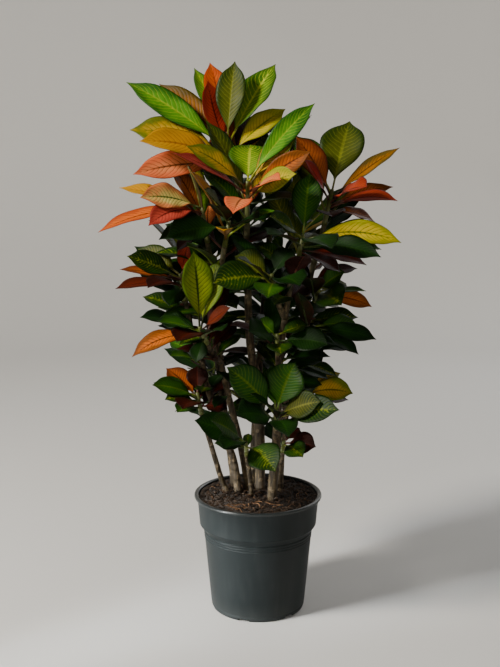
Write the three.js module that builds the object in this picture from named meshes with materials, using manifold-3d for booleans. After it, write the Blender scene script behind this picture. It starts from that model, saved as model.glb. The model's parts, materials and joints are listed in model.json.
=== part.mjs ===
// A croton (Codiaeum variegatum) in a plastic nursery pot, 1 m tall, in millimetres with +Z up.
// The origin is the centre of the pot's foot, on the surface that it stands on, and -Y is the front.
// Nine woody stems stand in the potting mix. Each branch ends in a green leafy shoot: a rosette of
// broad blades on short stalks. Every leaf is laid from its shoot to a named tip, then turned a few
// degrees at a time until it is clear of the wood and of the other shoots, as leaves grow round each other.
import * as THREE from "three";
import { mergeVertices } from "three/addons/utils/BufferGeometryUtils.js";
import Module from "manifold-3d";

const wasm = await Module();
wasm.setup();

// ---- driving dimensions, mm ----
const GAP = 0.3; // between neighbouring solids

const POT = {
  height: 222,
  footRadius: 85, // outer edge of the ring that touches the surface
  footWidth: 6,
  footLift: 5, // the base plate is held this far off the surface
  padRadius: 24, // a pad in the middle of the base plate stands on the surface too
  baseRadius: 89.2, // wall radius just above the foot
  shoulderRadius: 102.2, // wall radius just under the band
  shoulderHeight: 154,
  bandRadius: 110, // lower edge of the wide band under the rim
  bandHeight: 165.5,
  neckRadius: 114.3, // upper edge of the band
  neckHeight: 215.5,
  rimRadius: 120,
  wall: 2,
  sides: 26,
  drainHoles: 5,
  drainRadius: 6,
  drainCircle: 62,
  notches: 6,
  notchWidth: 21,
  notchHeight: 5,
  notchTurn: -18, // degrees round from the front to the first notch
};

const SOIL = {
  edgeHeight: 216.5, // where the mix meets the pot wall
  mound: 3.5, // the middle is higher by this much
  relief: 2.2, // height of the chips in the surface
  rings: 3,
  stemDepth: 53.5, // how deep the stems stand in it
  holeClearance: 0.8,
  holeDeeper: 0.03, // of the stretch from ring to ring
};

const LEAF = {
  stalk: 0.15, // share of the length that is stalk
  stalkWidth: 3.6,
  stalkThickness: 3,
  thickness: 0.8,
  taper: [1.2, 1], // how the outline narrows to the stalk and to the tip: 1 is straight, more is hollow
  fold: 14, // degrees that each half blade rises from the midrib
  toLight: 25, // degrees that a blade which grows sideways turns its face to the front
  stations: [0, 0.15, 0.4, 0.7], // where the sections lie, the tip excepted
  clearance: 0.9, // air kept round a blade on each face
};

const STEM_STEP = 70; // between the rings of a stem
const BRANCH = { footRadius: 5.6, topRadius: 5, sides: 5, steps: 3 };

const SHOOT = {
  footRadius: 5,
  budRadius: 3.2,
  sides: 5,
  highestLeaf: 2.5, // below the apex
  lowestLeaf: 9, // above the shoot's foot
  rootOut: 1.2, // a stalk starts this far from the shoot's middle, inside it
};

const DEG = Math.PI / 180;
const UP = new THREE.Vector3(0, 0, 1);

// ---- wood: every stem runs from the mix to the foot of its top shoot ----
// path: points along the middle; radius at the mix and at the top.
const STEMS = {
  stem_left_thin: {
    path: [[-58, 12, 212], [-71, 6, 253], [-91, -2, 326], [-104, -10, 372]],
    radius: [6, 4.4],
  },
  stem_left: {
    path: [
      [-37, 7, 212], [-47, 6, 285], [-69, 4, 343], [-88, 2, 405], [-105, 0, 477], [-119, -4, 522],
      [-131, -10, 580],
    ],
    radius: [8.5, 4.8],
  },
  stem_left_inner: {
    path: [[-18, 18, 212], [-30, 19, 295], [-52, 14, 392], [-70, 2, 480], [-78, -6, 570], [-86, -24, 665]],
    radius: [7.5, 4.8],
  },
  stem_centre: {
    path: [
      [4, 24, 212], [3, 20, 343], [0, 12, 430], [-11, 6, 480], [-17, 2, 540], [-19, 0, 640], [-24, -2, 735],
      [-38, -1, 800],
    ],
    radius: [11.5, 5],
  },
  stem_right_front: {
    path: [[25, -30, 212], [34, -32, 340], [38, -36, 470], [48, -42, 566], [58, -58, 630], [66, -72, 660]],
    radius: [10.5, 4.8],
  },
  stem_right: {
    path: [[40, 26, 212], [46, 32, 320], [62, 30, 430], [80, 22, 540], [98, 12, 640], [116, 2, 712]],
    radius: [9.5, 4.8],
  },
  stem_back: {
    path: [[-8, 56, 212], [-5, 76, 330], [4, 92, 450], [14, 102, 600], [24, 98, 720], [29, 94, 770]],
    radius: [9, 4.8],
  },
  stem_back_left: {
    path: [[-44, 46, 212], [-60, 64, 330], [-76, 82, 450], [-88, 94, 560], [-90, 94, 680], [-87, 88, 735]],
    radius: [8, 4.8],
  },
  stem_front_thin: { path: [[-12, -8, 212], [-15, -30, 262], [-20, -60, 306]], radius: [5, 4.2] },
};

// ---- shoots: apex is the growing tip, length the leafy stretch below it ----
// from: height on the stem where its side branch leaves, left out where it is the stem's own top.
// leaves, youngest first: [x, y, z of the tip from the apex], width, arch, roll in degrees.
// fill: how many more leaves a rule adds, between two bearings in degrees, and their length.
const L = (x, y, z, width, arch = 0.08, roll = 0) => ({ to: [x, y, z], width, arch, roll });
const BEHIND = [20, 160];
const ALL_ROUND = [0, 360];

const SHOOTS = {
  shoot_crown: {
    stem: "stem_centre", apex: [-56, 0, 874], length: 62,
    leaves: [
      L(14, 45, 142, 56), L(88, 75, 139, 68, 0.06), L(-34, 115, 145, 50), L(-48, 30, 100, 54, -0.1),
      L(-64, 122, 136, 40), L(-182, 40, 105, 52, 0.07, -35), L(-126, 80, 104, 50, 0.1, -25),
      L(106, 50, 58, 48, 0.1, 20), L(75, 120, 50, 61), L(92, 140, 40, 55),
      L(-175, 0, 20, 68, 0.16, -30), L(-150, -55, 0, 66, 0.14, -20), L(-163, -50, -57, 54, 0.1, -35),
    ],
    fill: { count: 3, between: BEHIND, size: 165 },
  },
  shoot_front_upper: {
    stem: "stem_centre", from: 690, apex: [-19, -60, 806], length: 72,
    leaves: [
      L(117, 25, 133, 42, 0.08, 45), L(5, 70, 62, 76, 0.2), L(82, 45, 91, 48, 0.08, 25),
      L(-105, -20, 60, 42, 0.14, -35), L(100, 5, 66, 40, 0.06, 60), L(-124, -45, 48, 36, 0.1, -15),
      L(82, -55, 14, 46, 0.1, 50), L(55, -90, 5, 42, 0.18, 20), L(-24, -90, -51, 50, 0.25),
      L(76, -62, -26, 50),
    ],
    fill: { count: 3, between: BEHIND, size: 150 },
  },
  shoot_right_upper: {
    stem: "stem_right", apex: [132, -10, 790], length: 66,
    leaves: [
      L(37, 85, 121, 84, 0.06), L(-63, 85, 95, 60), L(-65, 20, 92, 52, 0.08, -30),
      L(120, 10, 73, 34, 0.06, 10), L(-54, -48, 54, 32, 0.06, -50), L(53, -80, 7, 60, 0.15, 15),
      L(112, 25, 3, 36, 0.1, 10), L(116, -25, -28, 46, 0.2), L(80, 22, -60, 42, 0.15),
      L(-5, -72, -45, 55, 0.15),
    ],
    fill: { count: 2, between: BEHIND, size: 160 },
  },
  shoot_right_front: {
    stem: "stem_right_front", apex: [77, -90, 715], length: 58,
    leaves: [
      L(13, 50, 104, 54), L(-60, -50, 36, 46, 0.1, -30), L(170, 5, -14, 46, 0.2, 35),
      L(42, -105, -14, 62, 0.2), L(-64, -78, 8, 59, 0.12), L(132, -42, -33, 48, 0.15, 20),
      L(110, 0, -52, 44, 0.1), L(66, 12, -66, 51, 0.1),
    ],
    fill: { count: 3, between: BEHIND, size: 130 },
  },
  shoot_left_upper: {
    stem: "stem_left_inner", apex: [-99, -50, 760], length: 66,
    leaves: [
      L(-102, -62, 20, 52, 0.15, -35), L(-180, -25, -42, 42, 0.16), L(-80, -92, -26, 48, 0.25, -20),
      L(-148, 28, 33, 46, 0.12), L(-92, -25, 38, 40, 0.15), L(-74, 18, 56, 46), L(-36, -15, 70, 46),
      L(-20, 38, 62, 46), L(-76, -8, -56, 46, 0.12), L(-46, 8, -78, 46, 0.15),
    ],
    fill: { count: 2, between: BEHIND, size: 140 },
  },
  shoot_centre_upper: {
    stem: "stem_left_inner", from: 600, apex: [-51, -60, 738], length: 50,
    leaves: [
      L(-42, -38, 56, 53, 0.08, -20), L(-22, -66, 40, 48, 0.15), L(-106, -58, -8, 59, 0.12, -25),
      L(52, -52, 8, 55, 0.12),
    ],
    fill: { count: 3, between: ALL_ROUND, size: 110 },
  },
  shoot_left: {
    stem: "stem_left", apex: [-141, -20, 640], length: 52,
    leaves: [
      L(-80, 45, 40, 50, 0.08, -25), L(17, -10, 56, 37, 0.05, 60), L(-92, -25, 34, 48, 0.08, -30),
      L(-110, 12, 6, 30, 0.08), L(8, -85, 0, 48, 0.12), L(-112, -40, -14, 38, 0.12),
      L(-50, -92, -14, 50, 0.2), L(-16, -62, -50, 46, 0.15),
    ],
    fill: { count: 3, between: BEHIND, size: 130 },
  },
  shoot_left_lower: {
    stem: "stem_left_inner", from: 470, apex: [-103, -96, 555], length: 50,
    leaves: [
      L(-16, 22, 130, 62, 0.05), L(28, 34, 116, 56, 0.05), L(55, -32, 40, 30, 0.08, 40),
      L(-66, -38, 16, 46, 0.1), L(-76, 20, 8, 51, 0.15), L(-34, -82, -3, 56, 0.15),
      L(42, -56, 4, 51, 0.12), L(-116, -25, -48, 42, 0.25, -8), L(-6, -14, -60, 34, 0.1),
    ],
    fill: { count: 2, between: BEHIND, size: 100 },
  },
  shoot_left_low: {
    stem: "stem_left_thin", apex: [-112, -20, 420], length: 44,
    leaves: [
      L(2, 28, 42, 42), L(26, 46, 44, 42), L(-78, -50, 26, 40, 0.1, -30), L(-62, 50, 26, 46, 0.1),
      L(-80, 5, 20, 40, 0.12, -25), L(48, 64, 18, 48, 0.1), L(-58, -22, -8, 46, 0.2),
      L(-40, -78, -10, 55, 0.2), L(44, 40, -30, 51, 0.1), L(-34, -52, -24, 44, 0.12),
    ],
    fill: { count: 1, between: BEHIND, size: 95 },
  },
  shoot_front: {
    stem: "stem_right_front", from: 330, apex: [30, -100, 410], length: 56,
    leaves: [
      L(-30, -35, 22, 20), L(-45, -8, 30, 20), L(-6, 55, 66, 51), L(40, 30, 76, 73, 0.08, 25),
      L(-86, 5, 74, 64, 0.1, -40), L(68, -30, 30, 55, 0.1, 35), L(97, -50, 24, 57, 0.1, 30),
      L(-90, -70, 10, 66, 0.12, -20), L(95, -65, -6, 68, 0.12, 30), L(20, -100, -24, 51, 0.2),
    ],
    fill: { count: 2, between: ALL_ROUND, size: 110 },
  },
  shoot_front_low: {
    stem: "stem_front_thin", apex: [-23, -80, 343], length: 32,
    leaves: [
      L(-60, -58, 56, 55, 0.1, -35), L(-90, -28, 48, 57, 0.1, -30), L(-38, -76, 10, 51, 0.25),
      L(52, -80, -30, 64, 0.2, 20), L(-56, 0, -2, 42, 0.1),
    ],
    fill: { count: 2, between: ALL_ROUND, size: 80 },
  },
  shoot_right_low: {
    stem: "stem_right", from: 320, apex: [89, 30, 413], length: 44,
    leaves: [
      L(10, 20, 48, 51), L(70, 36, 25, 40, 0.15), L(90, -6, -4, 50, 0.2, 30), L(46, -26, -34, 46, 0.1),
      L(85, 26, -26, 40, 0.1),
    ],
    fill: { count: 3, between: BEHIND, size: 110 },
  },
  shoot_right_lowest: {
    stem: "stem_right", from: 268, apex: [49, 2, 322], length: 26,
    leaves: [
      L(26, 22, 22, 40), L(60, -30, -2, 46, 0.12, 35), L(46, -58, -12, 44, 0.12, 20), L(-30, 44, 16, 46, 0.1),
    ],
    fill: { count: 1, between: BEHIND, size: 85 },
  },
  shoot_centre: {
    stem: "stem_right_front", from: 560, apex: [22, -90, 647], length: 48,
    leaves: [
      L(38, 25, 42, 51), L(-64, 15, 30, 53, 0.1, -30), L(-104, -40, -10, 62, 0.15, -30),
      L(46, -80, -10, 68, 0.2), L(-8, -82, -30, 59, 0.15), L(-50, 8, -24, 46, 0.1),
    ],
    fill: { count: 3, between: ALL_ROUND, size: 105 },
  },
  shoot_centre_low: {
    stem: "stem_right_front", from: 460, apex: [33, -62, 537], length: 42,
    leaves: [
      L(30, 22, 42, 46), L(-36, 10, 24, 37, 0.1, -20), L(-50, -56, 14, 62, 0.12, -25),
      L(80, -50, 8, 57, 0.12, 20), L(5, -66, -24, 48, 0.15),
    ],
    fill: { count: 3, between: ALL_ROUND, size: 95 },
  },
  shoot_right: {
    stem: "stem_right", from: 505, apex: [110, 16, 606], length: 36,
    leaves: [
      L(46, -30, 36, 48, 0.1, 40), L(56, 42, 6, 46, 0.1), L(42, -98, -14, 62, 0.15, 30),
      L(102, 6, -26, 38, 0.15, 25),
    ],
    fill: { count: 3, between: ALL_ROUND, size: 130 },
  },
  shoot_right_mid: {
    stem: "stem_right", from: 460, apex: [100, -28, 546], length: 44,
    leaves: [
      L(84, 28, -6, 40, 0.12, 25), L(112, -18, -22, 40, 0.1, 20), L(80, -44, -38, 36, 0.1),
      L(14, -72, -10, 51, 0.15),
    ],
    fill: { count: 3, between: ALL_ROUND, size: 100 },
  },
  shoot_back_top: {
    stem: "stem_back", apex: [34, 92, 838], length: 58,
    leaves: [], fill: { count: 8, between: ALL_ROUND, size: 118 },
  },
  shoot_back_left_top: {
    stem: "stem_back_left", apex: [-84, 86, 800], length: 56,
    leaves: [], fill: { count: 7, between: [60, 260], size: 138 },
  },
  shoot_back_right: {
    stem: "stem_back", from: 610, apex: [84, 128, 706], length: 52,
    leaves: [], fill: { count: 7, between: [-40, 150], size: 150 },
  },
  shoot_back_left: {
    stem: "stem_back_left", from: 520, apex: [-124, 124, 616], length: 48,
    leaves: [], fill: { count: 7, between: [50, 240], size: 135 },
  },
  shoot_back_mid: {
    stem: "stem_back", from: 440, apex: [30, 146, 540], length: 48,
    leaves: [], fill: { count: 7, between: [-10, 190], size: 130 },
  },
  shoot_back_left_low: {
    stem: "stem_back_left", from: 330, apex: [-88, 112, 426], length: 44,
    leaves: [], fill: { count: 6, between: [60, 230], size: 110 },
  },
  shoot_back_low: {
    stem: "stem_back", from: 320, apex: [20, 120, 396], length: 42,
    leaves: [], fill: { count: 6, between: [-20, 170], size: 105 },
  },
};

// What a leaf tries in turn until it is clear: its size, and whether it may touch its own shoot's leaves.
const TRIES = [[1, false], [0.85, false], [1, true], [0.85, true], [0.7, true]];
// How far it may turn at each try, in degrees sideways and upwards, nearest first.
const TURNS = [];
for (let side = -72; side <= 72; side += 4) {
  for (let rise = -40; rise <= 40; rise += 4) TURNS.push([side, rise]);
}
TURNS.sort((a, b) => Math.hypot(...a) - Math.hypot(...b) || a[0] - b[0] || a[1] - b[1]);

// ---- small tools ----
// mulberry32, so that every run draws the same plant
function randomSource(seed) {
  let state = seed >>> 0;
  return () => {
    state = (state + 0x6d2b79f5) >>> 0;
    let t = Math.imul(state ^ (state >>> 15), state | 1);
    t = (t + Math.imul(t ^ (t >>> 7), t | 61)) ^ t;
    return ((t ^ (t >>> 14)) >>> 0) / 4294967296;
  };
}

function solidOf(geometry) {
  const bare = new THREE.BufferGeometry();
  bare.setAttribute("position", geometry.getAttribute("position"));
  if (geometry.index) bare.setIndex(geometry.index);
  const merged = mergeVertices(bare, 1e-4);
  const vertProperties = new Float32Array(merged.attributes.position.array);
  const triVerts = new Uint32Array(merged.index.array);
  const solid = new wasm.Manifold(new wasm.Mesh({ numProp: 3, vertProperties, triVerts }));
  if (solid.volume() >= 0) return solid;
  for (let i = 0; i < triVerts.length; i += 3) {
    [triVerts[i + 1], triVerts[i + 2]] = [triVerts[i + 2], triVerts[i + 1]]; // it was inside out
  }
  return new wasm.Manifold(new wasm.Mesh({ numProp: 3, vertProperties, triVerts }));
}

function geometryOf(solid) {
  const mesh = solid.getMesh();
  const positions = new Float32Array(mesh.numVert * 3);
  for (let i = 0; i < mesh.numVert; i++) {
    positions.set(mesh.vertProperties.subarray(i * mesh.numProp, i * mesh.numProp + 3), i * 3);
  }
  const geometry = new THREE.BufferGeometry();
  geometry.setAttribute("position", new THREE.BufferAttribute(positions, 3));
  geometry.setIndex(new THREE.BufferAttribute(new Uint32Array(mesh.triVerts), 1));
  geometry.computeVertexNormals();
  return geometry;
}

// A round bar along a curve: a cylinder whose rings are carried along it without twist.
function bar(curve, radiusAt, sides, steps) {
  const shape = new THREE.CylinderGeometry(1, 1, 1, sides, steps, false);
  const frames = [];
  let across = new THREE.Vector3(1, 0, 0);
  for (let i = 0; i <= steps; i++) {
    const along = curve.getTangentAt(i / steps);
    across = across.clone().addScaledVector(along, -across.dot(along)).normalize();
    frames.push({ centre: curve.getPointAt(i / steps), across, other: along.clone().cross(across) });
  }
  const position = shape.getAttribute("position");
  const point = new THREE.Vector3();
  for (let i = 0; i < position.count; i++) {
    const step = Math.round((position.getY(i) + 0.5) * steps);
    const radius = radiusAt(step / steps);
    const { centre, across: a, other: b } = frames[step];
    point.copy(centre);
    point.addScaledVector(a, position.getX(i) * radius).addScaledVector(b, position.getZ(i) * radius);
    position.setXYZ(i, point.x, point.y, point.z);
  }
  return solidOf(shape);
}

function curveThrough(points) {
  return new THREE.CatmullRomCurve3(points, false, "centripetal");
}

function pointAtHeight(curve, height) {
  let low = 0;
  let high = 1;
  for (let i = 0; i < 40; i++) {
    const middle = (low + high) / 2;
    if (curve.getPointAt(middle).z < height) low = middle;
    else high = middle;
  }
  return curve.getPointAt(low);
}

// ---- pot ----
function lathe(profile) {
  const outline = profile.map(([radius, height]) => new THREE.Vector2(radius, height));
  const shape = new THREE.LatheGeometry(outline, POT.sides);
  shape.rotateX(Math.PI / 2); // its axis is Y
  return solidOf(shape);
}

function potWall(inset) {
  return [
    [POT.neckRadius - inset, POT.neckHeight],
    [POT.bandRadius - inset, POT.bandHeight],
    [POT.shoulderRadius - inset, POT.shoulderHeight],
    [POT.baseRadius - inset, 12],
  ];
}

function makePot() {
  const { rimRadius, height, footRadius, footWidth, footLift, padRadius, neckRadius, neckHeight, wall } = POT;
  const outside = potWall(0).reverse();
  const inside = potWall(wall);
  let pot = lathe([
    [0, 0], [padRadius, 0], [padRadius + 1, footLift],
    [footRadius - footWidth, footLift], [footRadius - footWidth + 1, 0], [footRadius, 0],
    [POT.baseRadius - 1, 5], ...outside,
    [rimRadius - 1.5, neckHeight + 0.8], [rimRadius, neckHeight + 2.2], [rimRadius, height - 2],
    [rimRadius - 2, height], [neckRadius + 1, height], [neckRadius - wall, height - 2],
    ...inside, [POT.baseRadius - 5, footLift + wall], [0, footLift + wall],
  ]);
  for (let i = 0; i < POT.notches; i++) {
    const notch = new THREE.BoxGeometry(POT.notchWidth, 16, 2 * POT.notchHeight);
    notch.translate(0, -footRadius + 1, 0);
    notch.rotateZ(POT.notchTurn * DEG + (i * 2 * Math.PI) / POT.notches);
    pot = pot.subtract(solidOf(notch));
  }
  for (let i = 0; i < POT.drainHoles; i++) {
    const turn = (i * 2 * Math.PI) / POT.drainHoles;
    const hole = new THREE.CylinderGeometry(POT.drainRadius, POT.drainRadius, 20, 8);
    hole.rotateX(Math.PI / 2);
    hole.translate(POT.drainCircle * Math.cos(turn), POT.drainCircle * Math.sin(turn), footLift);
    pot = pot.subtract(solidOf(hole));
  }
  return pot;
}

// ---- potting mix ----
function soilHeight(x, y) {
  const share = Math.hypot(x, y) / POT.neckRadius;
  const coarse = Math.sin(x * 0.31 + 1.3) * Math.cos(y * 0.27 + 0.4);
  const fine = 0.6 * Math.sin((x + y) * 0.19) * Math.cos((x - y) * 0.23);
  const relief = SOIL.relief * (coarse + fine) * Math.min(1, 4 * (1 - share)); // none at the wall
  return SOIL.edgeHeight + SOIL.mound * (1 - share * share) + relief;
}

function makeSoil(holes) {
  const inset = POT.wall + GAP + 0.1;
  const edge = POT.neckRadius - inset - 0.3;
  const floor = POT.footLift + POT.wall + GAP;
  const sides = potWall(inset).reverse().slice(0, 3);
  const below = [[0, floor], [POT.baseRadius - 5.5, floor], ...sides];
  const top = [];
  for (let i = 0; i <= SOIL.rings; i++) top.push([edge * (1 - i / SOIL.rings), SOIL.edgeHeight - 2]);
  const outline = [...below, ...top].map(([radius, height]) => new THREE.Vector2(radius, height));
  const shape = new THREE.LatheGeometry(outline, POT.sides);
  shape.rotateX(Math.PI / 2);
  const position = shape.getAttribute("position");
  for (let i = 0; i < position.count; i++) {
    if (position.getZ(i) < SOIL.edgeHeight - 3) continue;
    position.setZ(i, soilHeight(position.getX(i), position.getY(i)));
  }
  return holes.reduce((soil, hole) => soil.subtract(hole), solidOf(shape));
}

// ---- stems ----
function stemCurve(name) {
  const { path } = STEMS[name];
  const points = path.map((p) => new THREE.Vector3(...p));
  const foot = points[0].clone().setZ(SOIL.edgeHeight - SOIL.stemDepth);
  const top = Object.values(SHOOTS).find((s) => s.stem === name && s.from === undefined);
  if (top) points.push(footOfShoot(top, points.at(-1)));
  return curveThrough([foot, ...points]);
}

// The shoot's axis runs on from the last point of the wood below it.
function footOfShoot(shoot, last) {
  const apex = new THREE.Vector3(...shoot.apex);
  shoot.axis = apex.clone().sub(last).normalize();
  shoot.foot = apex.clone().addScaledVector(shoot.axis, -shoot.length);
  return shoot.foot;
}

function stemSides(name) {
  return STEMS[name].radius[0] > 9 ? 8 : 6;
}

function stemSteps(curve) {
  return Math.round(curve.getLength() / STEM_STEP);
}

function stemRadius(name, share, extra = 0) {
  const [low, high] = STEMS[name].radius;
  const flare = 1 + 0.12 * Math.max(0, 1 - share * 9); // the collar at the mix
  return (low + (high - low) * Math.pow(share, 0.8)) * flare + extra;
}

function branchRadius(share) {
  return BRANCH.footRadius + (BRANCH.topRadius - BRANCH.footRadius) * share;
}

function makeStem(name) {
  const curve = stemCurve(name);
  let wood = bar(curve, (share) => stemRadius(name, share), stemSides(name), stemSteps(curve));
  for (const shoot of Object.values(SHOOTS)) {
    if (shoot.stem !== name || shoot.from === undefined) continue;
    const start = pointAtHeight(curve, shoot.from);
    const apex = new THREE.Vector3(...shoot.apex);
    const bend = start.clone().lerp(apex, 0.42).setZ(start.z + 0.3 * (apex.z - start.z));
    const branch = new THREE.CatmullRomCurve3([start, bend, footOfShoot(shoot, bend)], false, "centripetal");
    wood = wood.add(bar(branch, branchRadius, BRANCH.sides, BRANCH.steps));
  }
  return wood;
}

// Round the stem's first stretch, which is straight, with a little room under its end.
function makeHole(name) {
  const curve = stemCurve(name);
  const low = curve.getPointAt(0);
  const high = curve.getPointAt(1 / stemSteps(curve));
  low.lerp(high, -SOIL.holeDeeper);
  const radius = stemRadius(name, 0, SOIL.holeClearance);
  return bar(new THREE.LineCurve3(low, high), () => radius, stemSides(name), 1);
}

// ---- leaves ----
// A blade's width as a share of its widest, which lies a little past the middle of it.
function bladeWidth(share) {
  const [towardsStalk, towardsTip] = LEAF.taper;
  const widest = towardsStalk / (towardsStalk + towardsTip);
  return Math.pow(share / widest, towardsStalk) * Math.pow((1 - share) / (1 - widest), towardsTip);
}

// One leaf as a closed solid: stalk and folded blade in one, the same triangles on both faces.
// padding adds to every side of it, and from leaves out the stretch before that share of its length.
function leafSolid(root, tip, leaf, padding = 0, from = 0) {
  const chord = tip.clone().sub(root);
  const length = chord.length();
  const outward = new THREE.Vector3(chord.x, chord.y, 0).normalize();
  const side = UP.clone().cross(outward);
  const lift = chord.clone().normalize().cross(side);
  const control = root.clone().lerp(tip, 0.5).addScaledVector(lift, leaf.arch * length);
  const line = new THREE.QuadraticBezierCurve3(root, control, tip);
  const top = [];
  const under = [];
  for (const station of [...LEAF.stations.filter((s) => s >= from), 1]) {
    const along = line.getTangent(station);
    const turn = (leaf.roll + LEAF.toLight * outward.x) * DEG;
    const across = side.clone().applyAxisAngle(along, turn * THREE.MathUtils.smoothstep(station, 0.05, 0.4));
    const normal = along.clone().cross(across);
    const centre = line.getPoint(station);
    const share = (station - LEAF.stalk) / (1 - LEAF.stalk);
    const onStalk = share <= 0;
    const half = padding + (onStalk ? LEAF.stalkWidth / 2 : (leaf.width / 2) * bladeWidth(share));
    const thick = (onStalk ? LEAF.stalkThickness : LEAF.thickness) + 2 * padding;
    const fold = LEAF.fold * DEG * (onStalk ? 0 : 1);
    for (const [row, level] of [[top, thick / 2], [under, -thick / 2]]) {
      const section = [-1, 0, 1].map((edge) => centre.clone()
        .addScaledVector(across, edge * half * Math.cos(fold))
        .addScaledVector(normal, Math.abs(edge) * half * Math.sin(fold) + level));
      const isPoint = station === 1 || (onStalk && row === under); // the tip, and the stalk's keel
      row.push(isPoint ? [section[1], section[1], section[1]] : section);
    }
  }
  const positions = [];
  const triangle = (...corners) => {
    if (corners[0] === corners[1] || corners[1] === corners[2] || corners[0] === corners[2]) return;
    for (const corner of corners) positions.push(corner.x, corner.y, corner.z);
  };
  const square = (a, b, c, d) => {
    triangle(a, b, c);
    triangle(a, c, d);
  };
  for (let i = 0; i + 1 < top.length; i++) {
    for (const j of [0, 1]) {
      square(top[i][j], top[i][j + 1], top[i + 1][j + 1], top[i + 1][j]);
      const [a, b, c, d] = [under[i][j], under[i][j + 1], under[i + 1][j + 1], under[i + 1][j]];
      triangle(a, c, b);
      triangle(a, d, c);
    }
    square(top[i][0], top[i + 1][0], under[i + 1][0], under[i][0]);
    square(top[i + 1][2], top[i][2], under[i][2], under[i + 1][2]);
  }
  for (const j of [0, 1]) square(top[0][j + 1], top[0][j], under[0][j], under[0][j + 1]);
  const shape = new THREE.BufferGeometry();
  shape.setAttribute("position", new THREE.BufferAttribute(new Float32Array(positions), 3));
  return solidOf(shape);
}

// The rule for the leaves that a shoot's list leaves open: steps of the golden angle, older ones lower.
function filledLeaves(name, shoot) {
  const random = randomSource(Object.keys(SHOOTS).indexOf(name) + 1);
  const { count, between: [low, high], size } = shoot.fill;
  const leaves = [];
  for (let i = 0; i < count; i++) {
    const age = (i + 0.5) / count;
    const bearing = (low + (((i * 137.5 + 360 * random()) % 360) / 360) * (high - low)) * DEG;
    const rise = (62 - 80 * age + 12 * (random() - 0.5)) * DEG;
    const vigour = 0.75 + 0.35 * Math.sin(Math.PI * Math.min(1, age + 0.25)); // the middle ones are longest
    const reach = size * (0.82 + 0.22 * random()) * vigour;
    const flat = reach * Math.cos(rise);
    const to = [flat * Math.cos(bearing), flat * Math.sin(bearing), reach * Math.sin(rise)];
    leaves.push(L(...to, reach * 0.36, 0.06 + 0.16 * age, 20 * (random() - 0.5)));
  }
  return leaves;
}

function turned(chord, side, rise) {
  const out = chord.clone().applyAxisAngle(UP, side * DEG);
  const level = new THREE.Vector3(out.x, out.y, 0).normalize();
  return out.applyAxisAngle(UP.clone().cross(level), -rise * DEG);
}

function touches(solid, box, others) {
  return others.some((other) => box.intersectsBox(other.box) && !solid.intersect(other.solid).isEmpty());
}

function boxed(solid) {
  const { min, max } = solid.boundingBox();
  return { solid, box: new THREE.Box3(new THREE.Vector3(...min), new THREE.Vector3(...max)) };
}

function makeShootStem(shoot) {
  const foot = shoot.foot.clone().addScaledVector(shoot.axis, GAP);
  const apex = shoot.foot.clone().addScaledVector(shoot.axis, shoot.length);
  const radiusAt = (share) => SHOOT.footRadius + (SHOOT.budRadius - SHOOT.footRadius) * share;
  return bar(new THREE.LineCurve3(foot, apex), radiusAt, SHOOT.sides, 1);
}

// Lays a shoot's leaves one by one. A listed leaf that finds no room is an error; a filled one is left out.
function growLeaves(name, shoot, obstacles) {
  const leaves = [...shoot.leaves, ...filledLeaves(name, shoot)];
  const apex = new THREE.Vector3(...shoot.apex);
  const spacing = (shoot.length - SHOOT.lowestLeaf) / leaves.length;
  const own = [];
  const laid = [];
  leaves.forEach((leaf, i) => {
    const middle = apex.clone().addScaledVector(shoot.axis, -(SHOOT.highestLeaf + i * spacing));
    const outward = new THREE.Vector3(leaf.to[0], leaf.to[1], 0).normalize();
    const root = middle.addScaledVector(outward, SHOOT.rootOut);
    const chord = apex.clone().add(new THREE.Vector3(...leaf.to)).sub(root);
    for (const [size, crowded] of TRIES) {
      for (const [side, rise] of TURNS) {
        const tip = root.clone().addScaledVector(turned(chord, side, rise), size);
        const guard = boxed(leafSolid(root, tip, leaf, LEAF.clearance));
        if (touches(guard.solid, guard.box, obstacles)) continue;
        if (!crowded) {
          const blade = boxed(leafSolid(root, tip, leaf, LEAF.clearance, LEAF.stalk));
          if (touches(blade.solid, blade.box, own)) continue;
        }
        laid.push(leafSolid(root, tip, leaf));
        own.push(boxed(leafSolid(root, tip, leaf, 0, LEAF.stalk)));
        return;
      }
    }
    if (i < shoot.leaves.length) throw new Error(`${name}: listed leaf ${i} has no room`);
  });
  return laid;
}

// ---- the plant ----
const croton = new THREE.Group();
croton.name = "potted_croton";

const MATERIALS = {
  pot: { color: 0x3b4448, roughness: 0.5, metalness: 0 },
  mix: { color: 0x3a2a1c, roughness: 1, metalness: 0 },
  bark: { color: 0x6e6250, roughness: 0.9, metalness: 0 },
  topLeaf: { color: 0x9a9a24, roughness: 0.4, metalness: 0 },
  leaf: { color: 0x2e5a1c, roughness: 0.4, metalness: 0 },
};

function add(name, solid, finish) {
  const mesh = new THREE.Mesh(geometryOf(solid), new THREE.MeshStandardMaterial(MATERIALS[finish]));
  mesh.name = name;
  croton.add(mesh);
}

const stems = Object.keys(STEMS).map((name) => ({ name, solid: makeStem(name) }));
const pot = makePot();
const soil = makeSoil(stems.map(({ name }) => makeHole(name)));
add("pot", pot, "pot");
add("potting_mix", soil, "mix");
stems.forEach(({ name, solid }) => add(name, solid, "bark"));

const obstacles = [pot, soil, ...stems.map(({ solid }) => solid)].map(boxed);
const shootStems = Object.entries(SHOOTS).map(([name, shoot]) => ({ name, ...boxed(makeShootStem(shoot)) }));
const grown = [];
for (const [name, shoot] of Object.entries(SHOOTS)) {
  const others = [...obstacles, ...shootStems.filter((s) => s.name !== name), ...grown];
  const leaves = growLeaves(name, shoot, others);
  grown.push(...leaves.map(boxed));
  const body = leaves.reduce((sum, leaf) => sum.add(leaf), shootStems.find((s) => s.name === name).solid);
  const finish = shoot.apex[2] > 700 ? "topLeaf" : "leaf";
  add(name, body, finish);
}

export default croton;
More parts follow.
